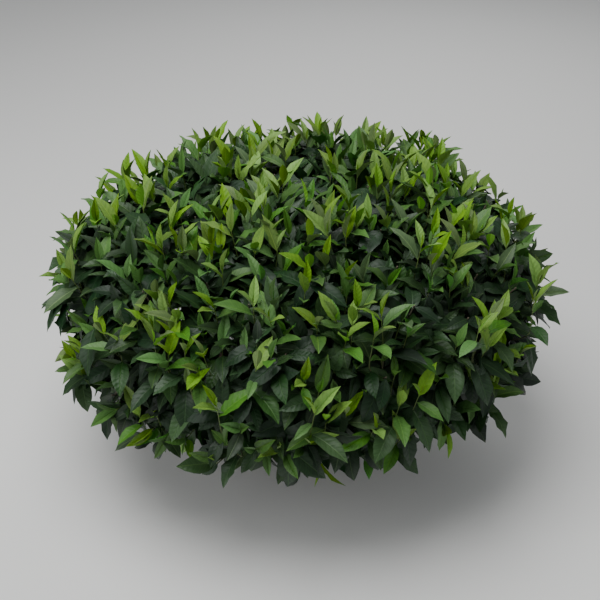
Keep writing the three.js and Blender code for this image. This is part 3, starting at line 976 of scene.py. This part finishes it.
def leaf_paint(name, colour, gloss, vein_light):
    """A leaf's upper face with midrib, side veins and mottling, and its paler underside."""
    paint = Paint(name)
    sheet = paint.node("ShaderNodeUVMap", {"uv_map": SHEET_MAP})
    split = paint.node("ShaderNodeSeparateXYZ", None, [sheet])
    column_place = split * SHEET_CELLS
    row_place = paint.node("ShaderNodeSeparateXYZ", None, [sheet], 1) * SHEET_CELLS
    column, row = column_place.math("FLOOR"), row_place.math("FLOOR")
    across, along = column_place.math("FRACT"), row_place.math("FRACT")
    is_under = row > (UPPER_ROWS - 0.5)
    side = (across - 0.5).math("ABSOLUTE") * (1 / CELL_HALF)
    half_step = (across > 0.5) * 0.5
    lottery = ((column * LOTTERY[0] + row * LOTTERY[1]).math("SINE") * LOTTERY[2]).math("FRACT")
    second_lottery = (lottery * SECOND_LOTTERY[0] + column * SECOND_LOTTERY[1]).math("FRACT")

    rib = 1 - paint.ease(side, 0.0, RIB["width"])
    phase = along * VEINS["pairs"] - side * VEINS["slant"]
    phase = phase + side * side * VEINS["bend"] + half_step + lottery
    swell = 0.5 - (phase * (2 * math.pi)).math("COSINE") * 0.5
    side_vein = (1 - paint.ease(swell, 0.0, VEINS["width"])) * (1 - paint.ease(side, *VEINS["fade"]))
    mottle = paint.speckle(sheet, "mottle")
    blotch = paint.speckle(sheet, "blotch")
    edge = paint.ease(side, EDGE["start"], 1.0)

    body = (mottle - 0.5) * BODY["mottle"] + (blotch - 0.5) * BODY["blotch"]
    body = body + (lottery - 0.5) * BODY["leaf"] + swell * BODY["swell"] + BODY["level"]
    body = body.math("MAXIMUM", 0.0).math("MINIMUM", 1.0)
    tones = {key: tone(colour, *change) for key, change in LEAF_TONES.items()}
    face = paint.blend(body, tones["dark"], tones["light"])
    face = paint.blend(edge * EDGE["share"], face, tones["edge"])
    veined = side_vein * varied(lottery, "veins")
    face = paint.blend(veined, face, tone(colour, vein_light, VEINS["warmth"]))
    face = paint.blend(rib * RIB["share"], face, tone(colour, vein_light * RIB["light"], RIB["warmth"]))
    back = paint.blend(body, tones["back_dark"], tones["back_light"])
    back = paint.blend(rib * RIB["share"], back, tones["back_rib"])
    surface = paint.blend(is_under, face, back)
    # Saturation from leaf to leaf: partly own colour, partly painted sheen and a painted glow of light
    # through the leaf.
    hue, saturation = varied(lottery, "hue"), varied(second_lottery, "saturation")
    changes = {"Hue": hue, "Saturation": saturation, "Color": surface}
    surface = paint.node("ShaderNodeHueSaturation", None, changes)

    ridges = swell * (lottery + VEIN_RELIEF["least"]) * (1 - side * VEIN_RELIEF["fade"]) * (1 - rib)
    bump = paint.bump("leaf", ridges - rib * RIB["depth"])
    rough = (blotch - 0.5) * LEAF_ROUGH["blotch"] + is_under * LEAF_ROUGH["back"] + gloss
    return paint.finish(Base_Color=surface, Roughness=rough, Specular_IOR_Level=LEAF_SHINE, Normal=bump)


def bark_paint(name, settings):
    """Grey-brown bark with furrows along the limb and pale patches of lichen."""
    paint = Paint(name)
    place = paint.node("ShaderNodeTexCoord", None, None, 3)
    drawn = paint.node("ShaderNodeMapping", None, {"Vector": place, "Scale": BARK["grain"]})
    fine = paint.speckle(drawn, "bark")
    broad = paint.speckle(place, "broad")
    patch = paint.speckle(place, "lichen")
    furrow = 1 - paint.ease(fine, *BARK["furrow"])
    dark, light = (tone(settings.colour, *BARK_TONES[key]) for key in ("dark", "light"))
    wood = paint.blend(broad, dark, light)
    wood = paint.blend(furrow * BARK["share"], wood, tone(settings.furrow))
    wood = paint.blend(paint.ease(patch, *BARK["lichen"]) * BARK["share"], wood, tone(settings.lichen))
    bump = paint.bump("bark", fine + patch * LICHEN_RELIEF)
    return paint.finish(Base_Color=wood, Roughness=BARK_ROUGH + (patch - 0.5) * UNEVEN, Normal=bump)


def stalk_paint(name, low, high, rough):
    """A twig or a shoot whose colour changes from its root to its tip, with fine streaks and patches."""
    paint = Paint(name)
    sheet = paint.node("ShaderNodeUVMap", {"uv_map": SHEET_MAP})
    drawn = paint.node("ShaderNodeMapping", None, {"Vector": sheet, "Scale": STALK_GRAIN})
    along = paint.node("ShaderNodeSeparateXYZ", None, [sheet], 1)
    streak = paint.speckle(drawn, "streak")
    patch = paint.speckle(sheet, "patch")
    ends = paint.blend(along, tone(low), tone(high))
    dark = paint.blend(along, tone(low, STALK_SHADE["low"]), tone(high, STALK_SHADE["high"]))
    colour = paint.blend((streak + patch - STALK_SHADE["level"]).math("MINIMUM", 1.0), dark, ends)
    bump = paint.bump("stalk", streak)
    return paint.finish(Base_Color=colour, Roughness=rough + (patch - 0.5) * UNEVEN, Normal=bump)


# Meshes


def add_piece(name, mesh, material, nodes):
    """A finished piece at the origin that rides on the bush and stands for its solids."""
    triangles = sum(len(face.vertices) - 2 for face in mesh.polygons)
    if triangles > MOST_TRIANGLES:
        raise ValueError(f"{name} has {triangles} triangles, over {MOST_TRIANGLES}")
    print(name, triangles, "triangles")
    mesh.materials.append(material)
    piece = bpy.data.objects.new(name, mesh)
    bpy.context.scene.collection.objects.link(piece)
    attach(piece, "root")
    if nodes:
        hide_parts(*nodes)
    return piece


def node_names(*starts):
    return sorted(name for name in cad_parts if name.startswith(starts))


def joined_mesh(name, places, template, sheet_places):
    """Copies of a template as one mesh, from the places of each copy, with a map of the pattern sheet."""
    count, each = places.shape[:2]
    faces = [tuple(k * each + corner for corner in face) for k in range(count) for face in template]
    mesh = bpy.data.meshes.new(name)
    mesh.from_pydata(places.reshape(-1, 3).tolist(), [], faces, shade_flat=False)
    layer = mesh.uv_layers.new(name=SHEET_MAP)
    layer.uv.foreach_set("vector", sheet_places.astype(np.float32).ravel())
    mesh.set_sharp_from_angle(angle=LEAF_CREASE)
    return mesh


def blade_width(share):
    """A leaf's half width along it, 1 at its widest: a stalk, then an ellipse with a drawn-out tip."""
    blade = np.clip((share - STALK_SHARE) / (1 - STALK_SHARE), 0, 1)
    arch = np.sin(np.pi * blade ** BLADE["lead"]) ** (BLADE["fullness"] + BLADE["tip"] * blade**2)
    shape = arch * (1 - BLADE["taper"] * blade**3)
    return np.where(share >= 1, 0, np.maximum(shape / BLADE["widest"], STALK_WIDTH))


def leaf_template():
    """A flat leaf from two grids that share their edges: an upper face, and an underside with a keel.

    It gives the faces, and each vertex's station, its place across and whether it lies on the keel.
    """
    leaf = bmesh.new()
    rows = len(STATIONS) - 1
    bmesh.ops.create_grid(leaf, x_segments=LEAF_COLUMNS, y_segments=rows, size=1)
    for vert in bmesh.ops.create_grid(leaf, x_segments=2, y_segments=rows, size=1)["verts"]:
        vert.co.z = abs(vert.co.x) - 1
    bmesh.ops.remove_doubles(leaf, verts=leaf.verts, dist=0.01)
    ends = [vert for vert in leaf.verts if vert.co.y > 0.99]
    bmesh.ops.pointmerge(leaf, verts=ends, merge_co=(0, 1, 0))
    bmesh.ops.holes_fill(leaf, edges=leaf.edges)
    bmesh.ops.recalc_face_normals(leaf, faces=leaf.faces)
    leaf.verts.index_update()
    faces = [[vert.index for vert in face.verts] for face in leaf.faces]
    x, y, z = np.array([vert.co for vert in leaf.verts]).T
    leaf.free()
    return faces, np.rint((y + 1) / 2 * rows).astype(int), -x, z < -0.5


def leaf_places(leaves, steps, across, keel):
    """The vertices of all leaves at once: curled along the midrib, folded, bulged, waved and twisted."""

    def column(name):
        return np.array([getattr(leaf, name) for leaf in leaves], float)[:, None]

    base, along, face = column("base"), column("along"), column("face")
    length, curl, fold, twist = column("length"), column("curl"), column("fold"), column("twist")
    width, wave, phase = column("width"), column("wave"), column("phase")
    share = STATIONS[steps]
    turn = (curl * share)[..., None]
    reach = (length / curl)[..., None]
    centre = base + reach * (np.sin(turn) * along - (1 - np.cos(turn)) * face)
    lifted = np.sin(turn) * along + np.cos(turn) * face
    level = np.cross(face, along)
    roll = (twist * share)[..., None]
    sideways = level * np.cos(roll) + lifted * np.sin(roll)
    lifted = lifted * np.cos(roll) - level * np.sin(roll)

    out = width / 2 * blade_width(share) * across
    ripple = wave * width * across**2 * np.sin(np.pi * share)
    ripple = ripple * np.sin(WAVES * 2 * np.pi * share + phase + across * WAVE_SLANT)
    bulge = LEAF_BULGE * width * blade_width(share) * (np.abs(across) == 0.5)
    depth = keel * LEAF_THICKNESS * (KEEL_LEVEL - share)
    lift = np.abs(out) * np.sin(fold) + ripple + bulge - depth
    return centre + sideways * (out * np.cos(fold))[..., None] + lifted * lift[..., None]


def leaf_mesh(name, leaves):
    """All leaves of one colour as one mesh."""
    faces, steps, across, keel = leaf_template()
    share = STATIONS[steps]
    half_width = CELL_HALF * across * blade_width(share)
    sheet = np.stack([0.5 + half_width, CELL_START + CELL_RUN * share], axis=1)
    corners = np.array([corner for face in faces for corner in face])
    is_under = np.array([keel[face].any() for face in faces for _ in face])
    cells = np.array([leaf.cell for leaf in leaves])
    column = np.where(is_under, cells[:, 2:3], cells[:, 0:1])
    row = np.where(is_under, UPPER_ROWS, cells[:, 1:2])
    spots = (sheet[corners][None] + np.stack([column, row], axis=2)) / SHEET_CELLS
    return joined_mesh(name, leaf_places(leaves, steps, across, keel), faces, spots)


def upright_tube(sides, rings):
    """A closed tube of radius 1 and height 1 round the origin, cut across into rings."""
    tube = bmesh.new()
    bmesh.ops.create_cone(tube, cap_ends=True, segments=sides, radius1=1, radius2=1, depth=1)
    upright = [edge for edge in tube.edges if abs(edge.verts[0].co.z - edge.verts[1].co.z) > 0.9]
    bmesh.ops.subdivide_edges(tube, edges=upright, cuts=rings - 1)
    return tube


def stalk_mesh(name, stalks, sides, rings):
    """Tapering stalks as one mesh, each a tube bent along a line; a stalk is its line and two radii."""
    tube = upright_tube(sides, rings)
    tube.verts.index_update()
    template = [[vert.index for vert in face.verts] for face in tube.faces]
    x, y, z = np.array([vert.co for vert in tube.verts]).T[..., None]
    tube.free()
    steps = np.rint((z[:, 0] + 0.5) * rings).astype(int)
    turns = np.rint((np.arctan2(y[:, 0], x[:, 0]) / (2 * math.pi) - 0.25) * sides).astype(int) % sides
    spots = []
    for face in template:
        is_cap = len(face) == sides and len(set(steps[face])) == 1
        crosses = not is_cap and max(turns[face]) - min(turns[face]) > 1
        spots += [(turns[k] + (sides if crosses and turns[k] == 0 else 0), steps[k]) for k in face]
    shares = np.linspace(0, 1, rings + 1)
    places = []
    for line, thick, thin in stalks:
        points, axes = line.point(shares), line.tangent(shares)
        mean_axis = abs(axes).mean(axis=0)
        across = unit(np.cross(aside_from(mean_axis), axes))
        third = np.cross(axes, across)
        radii = mix(thick, thin, shares)[:, None]
        places.append(points[steps] + radii[steps] * (x * across[steps] + y * third[steps]))
    spots = np.array(spots) / (sides, rings)
    return joined_mesh(name, np.array(places), template, np.tile(spots, (len(places), 1)))


def bark_relief(around, along, radius, settings):
    """How far bark stands out at a place round and along a limb: ridges that run along it, and knots."""
    spread = radius * RIDGES["around"]
    spot = Vector((math.cos(around) * spread, math.sin(around) * spread, along * RIDGES["along"]))
    ridge = 1 - abs(noise.fractal(spot, *RIDGE_NOISE)) * RIDGES["depth"]
    knot = max(noise.noise(spot * KNOTS["size"] + KNOT_PLACE) - KNOTS["level"], 0)
    height = settings.relief * (ridge - RIDGES["level"]) * min(radius / RIDGES["full_at"], 1.0)
    return height + knot * min(radius, KNOTS["limit"]) * KNOTS["height"]


def bend_limb(line, radii, sides, rings, settings):
    """A tapering limb with bark relief along a line, from an upright tube bent into place."""
    mesh = upright_tube(sides, rings)
    aside = aside_from(line.tangent(0))

    @functools.cache
    def ring_at(share):
        axis = line.tangent(share)
        across = unit(square_to(aside, axis))
        return line.point(share), across, square_to(axis, across)

    for vert in mesh.verts:
        share = round(vert.co.z + 0.5, 5)
        centre, across, third = ring_at(share)
        around = math.atan2(vert.co.y, vert.co.x)
        radius = mix(radii[0], radii[1], share)
        radius += radii[0] * BOUGH_COLLAR["swell"] * math.exp(-((share / BOUGH_COLLAR["length"]) ** 2))
        radius += bark_relief(around, share * BARK_STRETCH + line.start[0], radius, settings)
        vert.co = Vector(centre + (across * math.cos(around) + third * math.sin(around)) * radius)
    return mesh


def catmull_rom(points, count):
    """Even steps along a smooth line through points."""
    points = np.array(points)
    steps = np.linspace(0, len(points) - 1, count)
    out = []
    for step in steps:
        i = min(int(step), len(points) - 2)
        t = step - i
        p0, p1, p2, p3 = (points[min(max(k, 0), len(points) - 1)] for k in range(i - 1, i + 3))
        v0, v1 = (p2 - p0) / 2, (p3 - p1) / 2
        cubic, square = 2 * p1 - 2 * p2 + v0 + v1, -3 * p1 + 3 * p2 - 2 * v0 - v1
        out.append(cubic * t**3 + square * t**2 + v0 * t + p1)
    return np.array(out)


def put_in_order(mesh):
    """Sorts edges and faces by the vertices they join, because a merge leaves them in no fixed order."""
    mesh.verts.index_update()
    total = len(mesh.verts)

    def number(part):
        corners = [vert.index for vert in part.verts]
        return min(corners) * total + max(corners)

    mesh.edges.sort(key=number)
    mesh.faces.sort(key=number)


def turn_stem(settings):
    """The stem's wall spun round, with lobes at its foot, bark relief and a slight lean."""
    wall = catmull_rom(
        [
            (FOOT_RADIUS, 0),
            (mix(FOOT_RADIUS, NECK_RADIUS, STEM_FLARE["share"]), STEM_FLARE["height"]),
            (NECK_RADIUS, NECK_HEIGHT),
            (HEAD_RADIUS, HEAD_HEIGHT),
            (HEAD_RADIUS * STEM_CROWN["share"], STEM_HEIGHT - STEM_CROWN["drop"]),
        ],
        STEM_RINGS,
    )
    mesh = bmesh.new()
    profile = [mesh.verts.new((0, 0, 0))]
    profile += [mesh.verts.new((radius, 0, height)) for radius, height in wall]
    profile.append(mesh.verts.new((0, 0, STEM_HEIGHT)))
    edges = [mesh.edges.new(pair) for pair in zip(profile, profile[1:])]
    whole_turn = {"axis": (0, 0, 1), "cent": (0, 0, 0), "angle": 2 * math.pi, "use_merge": True}
    bmesh.ops.spin(mesh, geom=profile + edges, steps=STEM_SIDES, **whole_turn)
    bmesh.ops.remove_doubles(mesh, verts=mesh.verts, dist=1e-5)
    bmesh.ops.recalc_face_normals(mesh, faces=mesh.faces)
    put_in_order(mesh)
    for vert in mesh.verts:
        x, y, z = vert.co
        radius = math.hypot(x, y)
        if radius > ON_AXIS:
            around = math.atan2(y, x)
            swell = math.cos(STEM_LOBES["count"] * around - 1) * (1 - z / STEM_HEIGHT)
            grown = radius * (1 + STEM_LOBES["depth"] * swell)
            if radius > SMOOTH_EDGE and z > ON_AXIS:
                grown += bark_relief(around, z, radius, settings) * min(z / SMOOTH_EDGE, 1)
            x, y = x * grown / radius, y * grown / radius
        vert.co = (x + z * STEM_LEAN, y, z)
    return mesh


def mesh_of(name, built):
    """A bmesh as a smooth-shaded mesh."""
    mesh = bpy.data.meshes.new(name)
    built.to_mesh(mesh)
    built.free()
    mesh.shade_smooth()
    mesh.set_sharp_from_angle(angle=BARK_CREASE)
    return mesh


# Operators


class TEA_BUSH_OT_grow_stem(bpy.types.Operator):
    """Turn the stem with its flared foot and its bark"""

    bl_idname = "tea_bush.grow_stem"
    bl_label = "Stem"

    def execute(self, context):
        settings = context.scene.tea_bush.bark
        mesh = mesh_of("stem_bark", turn_stem(settings))
        add_piece("stem_bark", mesh, bark_paint("old bark", settings), ["stem"])
        return {"FINISHED"}


class TEA_BUSH_OT_grow_boughs(bpy.types.Operator):
    """Grow the main boughs and the bough that runs into each mass"""

    bl_idname = "tea_bush.grow_boughs"
    bl_label = "Boughs"

    def execute(self, context):
        settings = context.scene.tea_bush.bark
        built = bmesh.new()
        for line, bough, end in grown_bush()["boughs"]:
            limb = bend_limb(line, (bough["base"], end), bough["sides"], bough["rings"], settings)
            one = mesh_of("one_bough", limb)
            built.from_mesh(one)
            bpy.data.meshes.remove(one)
        mesh = mesh_of("bough_bark", built)
        nodes = node_names("main_bough", "side_bough", "top_bough")
        add_piece("bough_bark", mesh, bark_paint("bough bark", settings), nodes)
        return {"FINISHED"}


class TEA_BUSH_OT_grow_twigs(bpy.types.Operator):
    """Grow the limbs and twigs of the masses, and the green stalks of the shoots"""

    bl_idname = "tea_bush.grow_twigs"
    bl_label = "Twigs and shoots"

    def execute(self, context):
        settings = context.scene.tea_bush.twigs
        bush = grown_bush()
        woody = list(bush["limbs"])
        for mass in bush["masses"]:
            woody += [(line, LIMB_RADIUS, TWIG_TIP) for line in mass.twigs]
        fine, green = [], []
        for shoot in bush["shoots"]:
            fine.append((shoot.twig, FINE_RADIUS["fork"], FINE_RADIUS["base"]))
            line = Bend(shoot.base, (shoot.base + shoot.tip) / 2, shoot.tip)
            green.append((line, FINE_RADIUS["base"], FINE_RADIUS["tip"]))
        dark_wood, dark_green = tone(settings.woody, DARK_WOOD), tone(settings.green, DARK_GREEN)
        for name, stalks, slot, finish, low, high in (
            ("twigs", woody, "bark", "twig bark", dark_wood, settings.woody),
            ("fine_twigs", fine, "bark", "young wood", settings.woody, dark_green),
            ("shoot_stalks", green, "young_leaf", "green stalk", dark_green, settings.green),
        ):
            facts = STALKS[name]
            mesh = stalk_mesh(name, stalks, facts["sides"], facts["rings"])
            add_piece(name, mesh, stalk_paint(finish, low, high, facts["rough"]), [])
        return {"FINISHED"}


class TEA_BUSH_OT_grow_leaves(bpy.types.Operator):
    """Set the leaves of every colour on their shoots"""

    bl_idname = "tea_bush.grow_leaves"
    bl_label = "Leaves"

    def execute(self, context):
        settings = context.scene.tea_bush.leaves
        leaves = grown_bush()["leaves"]
        for colour, gloss, vein_light, slot, stands_for in LEAF_LOOKS:
            parts = math.ceil(len(leaves[colour]) * LEAF_TRIANGLES / MOST_TRIANGLES)
            for k in range(parts):
                name = f"{colour}_leaves_{k + 1}"
                off = k - (parts - 1) / 2
                light, warmth = 1 + PART_CONTRAST["light"] * off, PART_CONTRAST["warmth"] * off
                shade = tone(getattr(settings, colour), light, warmth)
                mesh = leaf_mesh(name, leaves[colour][k::parts])
                paint = leaf_paint(f"{colour} leaf {k + 1}", shade, gloss, vein_light)
                add_piece(name, mesh, paint, node_names(*stands_for) if k == 0 else [])
        return {"FINISHED"}


def aimed(name, data, place, aim):
    """A camera or a lamp at a place, turned to face another."""
    made = bpy.data.objects.new(name, data)
    made.location = place
    made.rotation_euler = (aim - Vector(place)).to_track_quat("-Z", "Y").to_euler()
    bpy.context.scene.collection.objects.link(made)
    return made


class TEA_BUSH_OT_set_stage(bpy.types.Operator):
    """Lay the floor and set the camera and the light"""

    bl_idname = "tea_bush.set_stage"
    bl_label = "Stage"

    def execute(self, context):
        settings = context.scene.tea_bush.studio
        built = bmesh.new()
        bmesh.ops.create_circle(built, cap_ends=True, segments=FLOOR["sides"], radius=FLOOR["radius"])
        floor_mesh = bpy.data.meshes.new("floor")
        built.to_mesh(floor_mesh)
        built.free()
        paint = Paint("floor")
        plain = paint.finish(Base_Color=tone(settings.floor), Roughness=FLOOR["rough"])
        floor_mesh.materials.append(plain)
        floor = bpy.data.objects.new("floor", floor_mesh)
        context.scene.collection.objects.link(floor)

        flat = math.cos(settings.elevation) * settings.distance
        east, south = math.sin(settings.azimuth) * flat, math.cos(settings.azimuth) * flat
        place = CAMERA_AIM + Vector((east, -south, math.sin(settings.elevation) * settings.distance))
        data = bpy.data.cameras.new("camera")
        data.lens = settings.lens
        context.scene.camera = aimed("camera", data, place, CAMERA_AIM)

        for name, (place, size, power) in LAMPS.items():
            lamp = bpy.data.lights.new(name, "AREA")
            lamp.shape = "DISK"
            lamp.size = size
            lamp.energy = power
            aimed(name, lamp, place, LAMP_AIM)

        world = bpy.data.worlds.new("daylight")
        world.use_nodes = True
        sky = world.node_tree.nodes["Background"]
        sky.inputs["Color"].default_value = SKY_COLOUR
        sky.inputs["Strength"].default_value = settings.daylight
        context.scene.world = world
        return {"FINISHED"}


class TEA_BUSH_PT_panel(bpy.types.Panel):
    """The operators, in order"""

    bl_idname = "TEA_BUSH_PT_panel"
    bl_label = "Tea bush"
    bl_space_type = "VIEW_3D"
    bl_region_type = "UI"
    bl_category = "Tea bush"

    def draw(self, context):
        for operator in OPERATORS:
            self.layout.operator(operator.bl_idname)


OPERATORS = (
    TEA_BUSH_OT_grow_stem,
    TEA_BUSH_OT_grow_boughs,
    TEA_BUSH_OT_grow_twigs,
    TEA_BUSH_OT_grow_leaves,
    TEA_BUSH_OT_set_stage,
)
CLASSES = (
    BarkSettings,
    TwigSettings,
    LeafSettings,
    StudioSettings,
    TeaBushSettings,
    *OPERATORS,
    TEA_BUSH_PT_panel,
)


def register():
    for kind in CLASSES:
        bpy.utils.register_class(kind)
    bpy.types.Scene.tea_bush = PointerProperty(type=TeaBushSettings)


def unregister():
    del bpy.types.Scene.tea_bush
    for kind in reversed(CLASSES):
        bpy.utils.unregister_class(kind)


def main():
    register()
    bpy.ops.tea_bush.grow_stem()
    bpy.ops.tea_bush.grow_boughs()
    bpy.ops.tea_bush.grow_twigs()
    bpy.ops.tea_bush.grow_leaves()
    bpy.ops.tea_bush.set_stage()
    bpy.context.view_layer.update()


if __name__ == "__main__":
    main()
